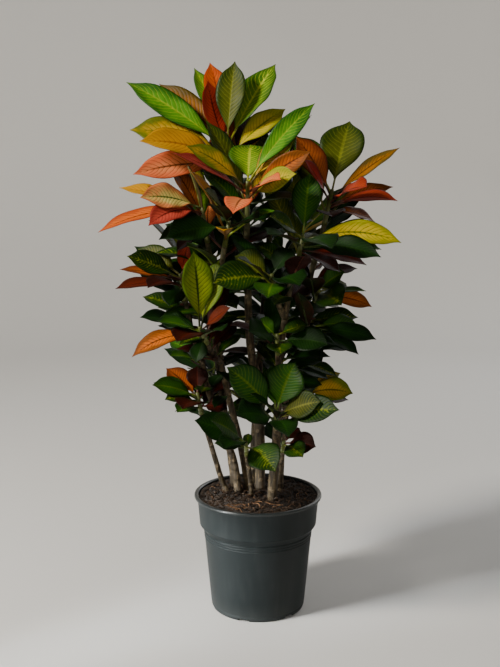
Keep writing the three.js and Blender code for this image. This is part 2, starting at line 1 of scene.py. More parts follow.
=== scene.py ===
import json
import random
from math import ceil, cos, exp, floor, hypot, pi, radians, sin, sqrt

import bmesh
import bpy
from mathutils import Matrix, Quaternion, Vector, kdtree, noise


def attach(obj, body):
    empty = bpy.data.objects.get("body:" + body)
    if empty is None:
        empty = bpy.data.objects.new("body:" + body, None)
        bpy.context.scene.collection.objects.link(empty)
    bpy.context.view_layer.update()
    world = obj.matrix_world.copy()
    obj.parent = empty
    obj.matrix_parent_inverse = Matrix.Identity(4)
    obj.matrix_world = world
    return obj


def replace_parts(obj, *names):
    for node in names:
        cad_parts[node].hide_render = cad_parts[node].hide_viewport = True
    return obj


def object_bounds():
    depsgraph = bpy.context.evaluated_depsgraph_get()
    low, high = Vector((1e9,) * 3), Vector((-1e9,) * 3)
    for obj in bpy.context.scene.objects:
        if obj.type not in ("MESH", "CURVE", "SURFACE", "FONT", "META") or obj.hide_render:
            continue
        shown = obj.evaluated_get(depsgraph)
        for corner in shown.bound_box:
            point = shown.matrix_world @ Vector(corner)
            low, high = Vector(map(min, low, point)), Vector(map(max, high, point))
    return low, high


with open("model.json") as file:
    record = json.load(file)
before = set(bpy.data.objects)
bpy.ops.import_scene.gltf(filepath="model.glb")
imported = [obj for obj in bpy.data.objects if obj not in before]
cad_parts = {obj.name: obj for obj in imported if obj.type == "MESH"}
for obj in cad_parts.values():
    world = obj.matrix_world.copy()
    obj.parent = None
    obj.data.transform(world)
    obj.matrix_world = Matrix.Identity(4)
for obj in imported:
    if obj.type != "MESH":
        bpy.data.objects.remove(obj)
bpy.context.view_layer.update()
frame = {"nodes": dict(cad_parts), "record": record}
print("frame loaded,", len(frame["nodes"]), "nodes")

mm = 0.001
up = Vector((0, 0, 1))


# a level direction at an angle
def level(turn):
    return Vector((cos(turn), sin(turn), 0))


def levelled(way):
    return Vector((way.x, way.y, 0)).normalized()


# camera: the photograph's angle, a long lens a little above the middle of the plant
view = {"place": (-15, -1880, 865), "pitch": 10.2, "lens": 56.1, "sensor": 36}

cameraData = bpy.data.cameras.new("camera")
cameraData.lens = view["lens"]
cameraData.sensor_width = view["sensor"]
camera = bpy.data.objects.new("camera", cameraData)
camera.location = Vector(view["place"]) * mm
camera.rotation_euler = (radians(90 - view["pitch"]), 0, 0)
scene = bpy.context.scene
scene.collection.objects.link(camera)
scene.camera = camera


# shader maths as plain expressions
class Wire:
    def __init__(self, tree, socket=None):
        self.tree = tree
        self.socket = socket

    # a new node: its type, the values or links of its sockets, the output to go on from and its settings
    def make(self, kind, values=None, out=0, **settings):
        node = self.tree.nodes.new("ShaderNode" + kind)
        for name, value in settings.items():
            setattr(node, name, value)
        for key, value in (values or {}).items():
            if isinstance(value, Wire):
                self.tree.links.new(value.socket, node.inputs[key])
            else:
                node.inputs[key].default_value = value
        return Wire(self.tree, node.outputs[out])

    def maths(self, operation, *values, clamp=False):
        return self.make("Math", dict(enumerate(values)), operation=operation, use_clamp=clamp)

    def __add__(self, other):
        return self.maths("ADD", self, other)

    def __sub__(self, other):
        return self.maths("SUBTRACT", self, other)

    def __mul__(self, other):
        return self.maths("MULTIPLY", self, other)

    def __radd__(self, other):
        return self.maths("ADD", other, self)

    def __rsub__(self, other):
        return self.maths("SUBTRACT", other, self)

    def __rmul__(self, other):
        return self.maths("MULTIPLY", other, self)

    def __abs__(self):
        return self.maths("ABSOLUTE", self)

    # 0 below low, 1 above high, smooth between; low may be the larger of the two
    def step(self, low, high):
        inside = self.maths("DIVIDE", self - low, high - low, clamp=True)
        return inside * inside * (3 - 2 * inside)

    def mixed(self, first, second):
        return self.make("Mix", {0: self, 6: first, 7: second}, out=2, data_type="RGBA")

    def grain(self, scale, detail=3, rough=0.55):
        values = {"Vector": self, "Scale": scale, "Detail": detail, "Roughness": rough}
        return self.make("TexNoise", values)

    def mapped(self, *scale):
        return self.make("Mapping", {"Vector": self, "Scale": scale})

    def part(self, axis):
        return self.make("SeparateXYZ", {"Vector": self}, out=axis)

    def bumped(self, strength, distance):
        return self.make("Bump", {"Height": self, "Strength": strength, "Distance": distance})

    def attribute(self, name, out="Color"):
        return self.make("Attribute", attribute_name=name, out=out)

    def shaded(self, amount):
        return self.make("VectorMath", {0: self, "Scale": amount}, operation="SCALE")


def colour(r, g, b):
    return (r, g, b, 1)


# the shader's values for a tone that is given as sRGB
def linear(tone):
    return [((c / 255 + 0.055) / 1.055) ** 2.4 if c > 10 else c / 255 / 12.92 for c in tone]


# a material, its object coordinates to draw from and its principled shader; paint() joins what varies
def newMaterial(name, **constants):
    material = bpy.data.materials.new(name)
    material.use_nodes = True
    tree = material.node_tree
    shader = tree.nodes["Principled BSDF"]
    for key, value in constants.items():
        shader.inputs[key.replace("_", " ")].default_value = value
    return material, Wire(tree).make("TexCoord", out="Object"), shader


def paint(shader, **inputs):
    for key, value in inputs.items():
        value.tree.links.new(value.socket, shader.inputs[key.replace("_", " ")])


# a mesh object from a bmesh, at the origin
def pieceFrom(bm, name, materials, smooth=True):
    mesh = bpy.data.meshes.new(name)
    bm.to_mesh(mesh)
    bm.free()
    for face in mesh.polygons:
        face.use_smooth = smooth
    piece = bpy.data.objects.new(name, mesh)
    for material in materials:
        mesh.materials.append(material)
    scene.collection.objects.link(piece)
    return piece


# a shape spun from its section, which is given as pairs of radius and height in mm
def spun(section, steps):
    bm = bmesh.new()
    verts = [bm.verts.new((radius * mm, 0, height * mm)) for radius, height in section]
    edges = [bm.edges.new(pair) for pair in zip(verts, verts[1:])]
    bmesh.ops.spin(
        bm, geom=verts + edges, cent=(0, 0, 0), axis=up, angle=2 * pi, steps=steps, use_merge=True,
    )
    bmesh.ops.remove_doubles(bm, verts=bm.verts, dist=1e-5)
    bmesh.ops.recalc_face_normals(bm, faces=bm.faces)
    return bm


# pot: spun from its section, with notches cut in the foot and drain holes in the floor
pot = {
    "height": 222, "wall": 2, "steps": 144, "footRadius": 85, "footWidth": 6, "footLift": 5, "padRadius": 24,
    "baseRadius": 89.2, "baseHeight": 12, "shoulderRadius": 102.2, "shoulderHeight": 154,
    "bandRadius": 110, "bandHeight": 165.5, "neckRadius": 114.3, "neckHeight": 215.5, "rimRadius": 120,
    "rings": (140.5, 145.5, 150.5), "ringHeight": 0.6, "ringWidth": 1.1, "grooveDepth": 0.8,
    "notches": 6, "notchSize": (21, 16, 10), "notchTurn": -18,
    "drainHoles": 5, "drainRadius": 6, "drainCircle": 62, "drainDepth": 20, "drainSides": 24,
    "tints": ((0.0098, 0.013, 0.0136), (0.013, 0.0166, 0.0172)), "dust": (0.036, 0.04, 0.039),
    "sharpFrom": 38,
}


def wallRadius(height):
    share = (height - pot["baseHeight"]) / (pot["shoulderHeight"] - pot["baseHeight"])
    return pot["baseRadius"] + share * (pot["shoulderRadius"] - pot["baseRadius"])


def potSection():
    foot, lift, pad = pot["footRadius"], pot["footLift"], pot["padRadius"]
    inner = foot - pot["footWidth"]
    base, low, groove, wall = pot["baseRadius"], pot["baseHeight"], pot["grooveDepth"], pot["wall"]
    shoulder, ledge = pot["shoulderRadius"], pot["shoulderHeight"]
    band, edge = pot["bandRadius"], pot["bandHeight"]
    neck, lip = pot["neckRadius"], pot["neckHeight"]
    rim, top = pot["rimRadius"], pot["height"]
    section = [
        (0, 0), (pad, 0), (pad + 1, lift), (inner, lift), (inner + 1, 0), (foot, 0), (foot + 2, 1.6),
        (base - 1, 5), (base - 0.6, 8), (base - 1, 9.2), (base, low),
    ]
    for ring in pot["rings"]:
        radius, out, width = wallRadius(ring), pot["ringHeight"], pot["ringWidth"]
        section += [
            (radius - 0.05, ring - width), (radius + out, ring - 0.3 * width),
            (radius + out, ring + 0.3 * width), (radius + 0.05, ring + width),
        ]
    # a fine groove where the band begins, the band, the rolled rim, then down the inside
    section += [
        (shoulder - 0.1, ledge - 1.7), (shoulder - groove, ledge - 1.5), (shoulder - groove, ledge - 0.5),
        (shoulder, ledge - 0.2), (shoulder + 0.7, ledge + 0.9),
        (band - 1.6, edge - 1.6), (band - 0.3, edge - 0.8), (band, edge), (band + 0.1, edge + 1.2),
        (neck - 0.1, lip - 1), (neck + 0.4, lip), (rim - 1.8, lip + 0.7), (rim - 0.5, lip + 1.3),
        (rim, lip + 2.4), (rim, top - 2.4), (rim - 0.5, top - 1), (rim - 1.6, top - 0.2), (rim - 2.5, top),
        (neck + 1.2, top), (neck - 0.8, top - 0.6), (neck - wall, top - 2),
        (neck - wall, lip), (band - wall, edge), (shoulder - wall, ledge), (base - wall, low),
        (base - 5, lift + wall), (0, lift + wall),
    ]
    return section


def potMaterial():
    material, place, shader = newMaterial("potPlastic", Specular_IOR_Level=0.14, Coat_Roughness=0.24)
    fine = place.grain(900, 2)
    broad = place.grain(14, 4)
    smears = place.mapped(30, 30, 4).grain(2.2, 4)
    height = place.part("Z")
    dust = height.step(0.04, 0.0) * 0.5 + smears.step(0.45, 0.75) * 0.25
    dark, pale = pot["tints"]
    tint = dust.mixed(broad.step(0.3, 0.7).mixed(colour(*dark), colour(*pale)), colour(*pot["dust"]))
    rough = 0.42 + 0.1 * broad + 0.14 * dust + 0.05 * fine
    bump = (fine * 0.5 + broad).bumped(0.12, 0.0006)
    coat = height.step(0.2135, 0.2165) * 0.6  # the rim shines more
    paint(shader, Base_Color=tint, Roughness=rough, Coat_Weight=coat, Normal=bump)
    return material


def makePot():
    piece = pieceFrom(spun(potSection(), pot["steps"]), "nursery_pot", [potMaterial()])
    cuts = bmesh.new()
    size = Matrix.Diagonal((*(s * mm for s in pot["notchSize"]), 1))
    for i in range(pot["notches"]):
        turn = Matrix.Rotation(radians(pot["notchTurn"]) + i * 2 * pi / pot["notches"], 4, "Z")
        place = turn @ Matrix.Translation((0, -(pot["footRadius"] - 1) * mm, 0))
        bmesh.ops.create_cube(cuts, size=1, matrix=place @ size)
    radius, depth = pot["drainRadius"] * mm, pot["drainDepth"] * mm
    for i in range(pot["drainHoles"]):
        turn = i * 2 * pi / pot["drainHoles"]
        place = level(turn) * pot["drainCircle"] + up * pot["footLift"]
        bmesh.ops.create_cone(
            cuts, cap_ends=True, segments=pot["drainSides"], radius1=radius, radius2=radius, depth=depth,
            matrix=Matrix.Translation(place * mm),
        )
    tool = pieceFrom(cuts, "pot_cuts", [])
    cut = piece.modifiers.new("notches", "BOOLEAN")
    cut.operation = "DIFFERENCE"
    cut.object = tool
    shown = piece.evaluated_get(bpy.context.evaluated_depsgraph_get())
    piece.data = bpy.data.meshes.new_from_object(shown)
    piece.modifiers.clear()
    bpy.data.objects.remove(tool)
    for face in piece.data.polygons:
        face.use_smooth = True
    piece.data.set_sharp_from_angle(angle=radians(pot["sharpFrom"]))
    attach(piece, "root")
    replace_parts(piece, "pot")


makePot()
print("pot made")


# potting mix: a heaped surface of bark chips and fibre
mix = {
    "edgeHeight": 216.5, "mound": 3.5, "relief": 2.2, "edgeRadius": 111.3, "rings": 44, "spokes": 128,
    "lumps": ((2.4, 110), (1.2, 260)), "foot": 195, "footShare": 0.965,
    "chips": 1500, "collar": 26, "chipSize": (2.5, 8.5), "fibres": 46, "fibreLength": (8, 26), "seed": 11,
    "roots": (
        ((-58, -66), (-46, -70), (-34, -63), (-22, -60), (-10, -50), (2, -53), (8, -60)),
        ((-30, -64), (-24, -72), (-27, -80), (-22, -86)), ((-52, -74), (-40, -79), (-30, -76), (-18, -80)),
        ((-12, -52), (-8, -64), (0, -70), (4, -78)), ((12, -58), (24, -66), (36, -64), (46, -70)),
    ),
    "rootRadius": 1.1, "crumbs": (0.2, 0.13, 0.075),
    "bedTints": ((0.007, 0.004, 0.002), (0.034, 0.0185, 0.008)),
    "chipTints": ((0.01, 0.0056, 0.0026), (0.06, 0.032, 0.015)),
    "fibreTints": ((0.09, 0.042, 0.018), (0.3, 0.155, 0.07)),
}


def mixHeight(x, y):
    share = min(1, hypot(x, y) / pot["neckRadius"])
    coarse = sin(x * 0.31 + 1.3) * cos(y * 0.27 + 0.4)
    fine = 0.6 * sin((x + y) * 0.19) * cos((x - y) * 0.23)
    relief = mix["relief"] * (coarse + fine) * min(1, 4 * (1 - share))
    return mix["edgeHeight"] + mix["mound"] * (1 - share * share) + relief


def mixMaterial(name, tints, fineness):
    material, place, shader = newMaterial(name, Roughness=0.95)
    clumps = place.grain(90 * fineness, 5, 0.7)
    crumbs = place.grain(420 * fineness, 4, 0.65)
    dark, pale = tints
    tint = clumps.step(0.35, 0.72).mixed(colour(*dark), colour(*pale))
    tint = crumbs.step(0.62, 0.78).mixed(tint, colour(*mix["crumbs"]))
    paint(shader, Base_Color=tint, Normal=(crumbs + clumps).bumped(0.9, 0.0016))
    return material


# a closed tube that is carried along points, ring by ring
def tube(bm, points, radii, sides):
    frames = []
    across = Vector((1, 0, 0))
    for i, point in enumerate(points):
        along = (points[min(i + 1, len(points) - 1)] - points[max(i - 1, 0)]).normalized()
        across = (across - along * across.dot(along)).normalized()
        other = along.cross(across)
        turn = Matrix((across, other, along)).transposed().to_4x4()
        frames.append(Matrix.Translation(point) @ turn @ Matrix.Diagonal((radii[i], radii[i], 1, 1)))
    ring = bmesh.ops.create_circle(bm, cap_ends=True, radius=1, segments=sides, matrix=frames[0])["verts"]
    face = ring[0].link_faces[0]
    made = list(ring)
    for before, after in zip(frames, frames[1:]):
        new = bmesh.ops.extrude_face_region(bm, geom=[face])["geom"]
        ring = [g for g in new if isinstance(g, bmesh.types.BMVert)]
        face = next(g for g in new if isinstance(g, bmesh.types.BMFace))
        bmesh.ops.transform(bm, matrix=after @ before.inverted(), verts=ring)
        made += ring
    return made


def makeBed():
    bm = bmesh.new()
    bmesh.ops.create_circle(bm, cap_ends=True, radius=mix["edgeRadius"] * mm, segments=mix["spokes"])
    face = bm.faces[:][0]
    width = mix["edgeRadius"] / (mix["rings"] + 1) * mm
    for i in range(mix["rings"]):
        bmesh.ops.inset_region(bm, faces=[face], thickness=width)
    for vert in bm.verts:
        vert.co.z = mixHeight(vert.co.x / mm, vert.co.y / mm) * mm
        vert.co.z += sum(rise * mm * noise.noise(vert.co * scale) for rise, scale in mix["lumps"])
    rim = [e for e in bm.edges if e.is_boundary]
    skirt = bmesh.ops.extrude_edge_only(bm, edges=rim)["geom"]
    for vert in [g for g in skirt if isinstance(g, bmesh.types.BMVert)]:
        vert.co.z = mix["foot"] * mm
        vert.co.xy *= mix["footShare"]
    bmesh.ops.holes_fill(bm, edges=[e for e in bm.edges if e.is_boundary], sides=0)
    bmesh.ops.recalc_face_normals(bm, faces=bm.faces)
    piece = pieceFrom(bm, "potting_mix_bed", [mixMaterial("mixBed", mix["bedTints"], 1)])
    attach(piece, "root")
    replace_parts(piece, "potting_mix")


# chips all over the bed, and a collar of them round each stem
def makeChips(draw):
    chips = bmesh.new()
    low, high = mix["chipSize"]
    spots = []
    for i in range(mix["chips"]):
        reach = (mix["edgeRadius"] - 3) * sqrt(draw.random())
        turn = draw.uniform(0, 2 * pi)
        spots.append((reach * cos(turn), reach * sin(turn)))
    for stem in stems.values():
        x, y = stem["path"][0][:2]
        for i in range(mix["collar"]):
            reach = stem["radius"][0] * draw.uniform(1.1, 1.7)
            turn = draw.uniform(0, 2 * pi)
            spots.append((x + reach * cos(turn), y + reach * sin(turn)))
    for x, y in spots:
        size = low + (high - low) * draw.random() ** 2.2
        sides = (size * draw.uniform(0.7, 1.3), size * 0.7, size * draw.uniform(0.3, 0.6))
        tilt = Matrix.Rotation(draw.gauss(0, 0.45), 4, "X") @ Matrix.Rotation(draw.gauss(0, 0.45), 4, "Y")
        place = Matrix.Translation((x, y, mixHeight(x, y) + size * draw.uniform(0, 0.35)))
        matrix = place @ Matrix.Rotation(draw.uniform(0, 6.28), 4, "Z") @ tilt @ Matrix.Diagonal((*sides, 1))
        made = bmesh.ops.create_icosphere(chips, subdivisions=1, radius=0.6)["verts"]
        for vert in made:
            vert.co *= draw.uniform(0.72, 1.2)
        bmesh.ops.transform(chips, matrix=Matrix.Scale(mm, 4) @ matrix, verts=made)
    piece = pieceFrom(chips, "bark_chips", [mixMaterial("barkChips", mix["chipTints"], 0.8)], smooth=False)
    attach(piece, "root")


def makeFibres(draw):
    fibres = bmesh.new()
    low, high = mix["fibreLength"]
    for i in range(mix["fibres"]):
        reach = (mix["edgeRadius"] - 8) * sqrt(draw.random())
        turn = draw.uniform(0, 2 * pi)
        start = level(turn) * reach
        heading = draw.uniform(0, 2 * pi)
        points = []
        length = draw.uniform(low, high)
        for k in range(6):
            start += level(heading) * length / 5
            heading += draw.gauss(0, 0.5)
            if start.length > mix["edgeRadius"] - 3:
                break
            lift = draw.uniform(0.6, 2.2) + 2.5 * sin(pi * k / 5)
            points.append(Vector((start.x, start.y, mixHeight(start.x, start.y) + lift)) * mm)
        if len(points) > 2:
            thick = draw.uniform(0.3, 0.7) * mm
            tube(fibres, points, [thick] * (len(points) - 1) + [thick * 0.4], 5)
    for root in mix["roots"]:
        route = smoothRoute([Vector((x, y, mixHeight(x, y) + draw.uniform(1, 3.4))) for x, y in root], 3)
        thick = mix["rootRadius"] * draw.uniform(0.7, 1.1) * mm
        radii = [thick * (1 - 0.7 * (2 * i / (len(route) - 1) - 1) ** 4) for i in range(len(route))]
        tube(fibres, [p * mm for p in route], radii, 7)
    piece = pieceFrom(fibres, "root_fibres", [mixMaterial("rootFibre", mix["fibreTints"], 0.5)])
    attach(piece, "root")


# stems: the routes of the wood, in mm, from the mix up to the last bend
stems = {
    "stem_left_thin": {
        "path": [(-58, 12, 212), (-71, 6, 253), (-91, -2, 326), (-104, -10, 372)], "radius": (6, 4.4),
    },
    "stem_left": {
        "path": [
            (-37, 7, 212), (-47, 6, 285), (-69, 4, 343), (-88, 2, 405), (-105, 0, 477), (-119, -4, 522),
            (-131, -10, 580),
        ],
        "radius": (8.5, 4.8),
    },
    "stem_left_inner": {
        "path": [
            (-18, 18, 212), (-30, 19, 295), (-52, 14, 392), (-70, 2, 480), (-78, -6, 570), (-86, -24, 665),
        ],
        "radius": (7.5, 4.8),
    },
    "stem_centre": {
        "path": [
            (4, 24, 212), (3, 20, 343), (0, 12, 430), (-11, 6, 480), (-17, 2, 540), (-19, 0, 640),
            (-24, -2, 735), (-38, -1, 800),
        ],
        "radius": (11.5, 5), "knots": ((546, -98), (492, -60), (618, -115), (440, -80)),
    },
    "stem_right_front": {
        "path": [
            (25, -30, 212), (34, -32, 340), (38, -36, 470), (48, -42, 566), (58, -58, 630), (66, -72, 660),
        ],
        "radius": (10.5, 4.8), "knots": ((238, -120), (300, -70)),
    },
    "stem_right": {
        "path": [(40, 26, 212), (46, 32, 320), (62, 30, 430), (80, 22, 540), (98, 12, 640), (116, 2, 712)],
        "radius": (9.5, 4.8),
    },
    "stem_back": {
        "path": [(-8, 56, 212), (-5, 76, 330), (4, 92, 450), (14, 102, 600), (24, 98, 720), (29, 94, 770)],
        "radius": (9, 4.8),
    },
    "stem_back_left": {
        "path": [
            (-44, 46, 212), (-60, 64, 330), (-76, 82, 450), (-88, 94, 560), (-90, 94, 680), (-87, 88, 735),
        ],
        "radius": (8, 4.8),
    },
    "stem_front_thin": {"path": [(-12, -8, 212), (-15, -30, 262), (-20, -60, 306)], "radius": (5, 4.2)},
}
wood = {
    "depth": 53.5, "step": 5, "sides": 20, "flare": 0.12, "branchRadius": (5.6, 5), "branchSides": 14,
    "scarSpacing": 17, "scarSize": 3.1, "scarRise": 0.045, "lump": 0.05, "bend": (0.42, 0.3),
    "dark": (48, 38, 22), "light": (84, 69, 44), "pale": (122, 103, 72), "crack": (26, 19, 12),
    "young": (84, 90, 48), "scar": (130, 111, 82), "scarMiddle": (40, 30, 20),
}
goldenTurn = 137.5
leaf = {
    "stalk": 0.15, "stalkRadius": 1.7, "stalkSides": 7, "thickness": 0.6, "taper": (1.2, 1), "fold": 14,
    "toLight": 25, "across": 10, "along": 24, "wave": 0.036, "ribDepth": 0.5, "veins": 15,
    "turnStep": 4, "sideReach": 72, "riseReach": 40, "sizes": (1, 0.85, 0.7), "cadHalfThickness": 0.4,
    "nearEnough": 0.001, "farthest": 0.06, "underTint": (74, 30, 26), "stalkTint": (70, 54, 30),
}
shootStem = {
    "footRadius": 5, "budRadius": 3.2, "sides": 12, "highest": 2.5, "lowest": 9, "rootOut": 1.2, "gap": 0.3,
    "tint": (92, 104, 44),
}


# tones of a leaf, as sRGB: middle, veins, margin and tip, then how strongly flecks, veins and margin show
tones = {
    "olive": ((68, 76, 8), (116, 116, 26), (28, 48, 8), (0.2, 0.45, 0.9)),
    "lime": ((98, 138, 10), (176, 178, 40), (34, 78, 8), (0.25, 0.5, 0.9)),
    "freshGreen": ((76, 132, 8), (150, 170, 30), (24, 74, 6), (0.2, 0.45, 0.95)),
    "deepGreen": ((38, 84, 8), (104, 132, 20), (18, 46, 6), (0.15, 0.4, 0.8)),
    "goldGreen": ((196, 150, 10), (84, 80, 8), (64, 90, 8), (0.0, 0.8, 0.9)),
    "yellow": ((206, 138, 4), (138, 88, 8), (164, 122, 10), (0.0, 0.65, 0.6)),
    "amber": ((150, 74, 10), (62, 28, 4), (76, 30, 6), (0.0, 0.75, 0.8)),
    "bronze": ((148, 92, 8), (56, 34, 4), (70, 62, 8), (0.0, 0.8, 0.9)),
    "orange": ((208, 98, 26), (104, 34, 8), (150, 48, 10), (0.0, 0.7, 0.7)),
    "redOrange": ((186, 56, 22), (76, 12, 4), (110, 24, 8), (0.0, 0.75, 0.7)),
    "red": ((150, 28, 16), (60, 6, 4), (78, 12, 8), (0.0, 0.75, 0.7)),
    "salmon": ((228, 134, 76), (96, 46, 18), (200, 76, 40), (0.0, 0.75, 0.7)),
    "rose": ((178, 66, 52), (88, 20, 16), (122, 34, 26), (0.0, 0.7, 0.7)),
    "brick": ((166, 60, 30), (80, 20, 8), (108, 28, 12), (0.0, 0.75, 0.7)),
    "copper": ((188, 98, 24), (80, 36, 6), (94, 52, 8), (0.25, 0.75, 0.85)),
    "rust": ((98, 32, 8), (52, 12, 4), (52, 18, 6), (0.0, 0.6, 0.7)),
    "lemon": ((206, 178, 18), (86, 104, 10), (104, 124, 12), (0.2, 0.7, 0.7)),
    "cream": ((230, 204, 108), (72, 92, 34), (200, 88, 50), (0.0, 0.75, 0.85)),
    # the next tone is a brighter yellow-green that paints the glow of light shining through a leaf, in place
    # of real translucency
    "paintedSunGlow": ((132, 148, 8), (36, 54, 6), (58, 90, 8), (0.0, 0.85, 0.8)),
    "glossy": ((16, 46, 6), (34, 68, 10), (8, 24, 4), (0.1, 0.35, 0.7)),
    "flecked": ((24, 58, 6), (124, 134, 14), (12, 32, 4), (0.6, 0.22, 0.7)),
    "maroon": ((52, 15, 5), (84, 26, 10), (26, 8, 3), (0.0, 0.5, 0.7)),
}
fillTones = {
    "upper": ("goldGreen", "freshGreen", "amber", "olive", "olive", "lime", "yellow", "salmon"),
    "middle": ("glossy", "flecked", "deepGreen", "maroon", "olive", "glossy", "deepGreen"),
    "lower": ("glossy", "flecked", "glossy", "maroon", "deepGreen"),
}
toneHeights = (560, 700)


behind = (20, 160)
allRound = (0, 360)


def leafRow(x, y, z, width, tone=None, arch=0.08, roll=0):
    return {"to": Vector((x, y, z)), "width": width, "arch": arch, "roll": roll, "tone": tone}


def standing(stem, start, apex, length, fill, rows):
    leaves = [leafRow(*row) for row in rows]
    return {"stem": stem, "from": start, "apex": apex, "length": length, "fill": fill, "leaves": leaves}


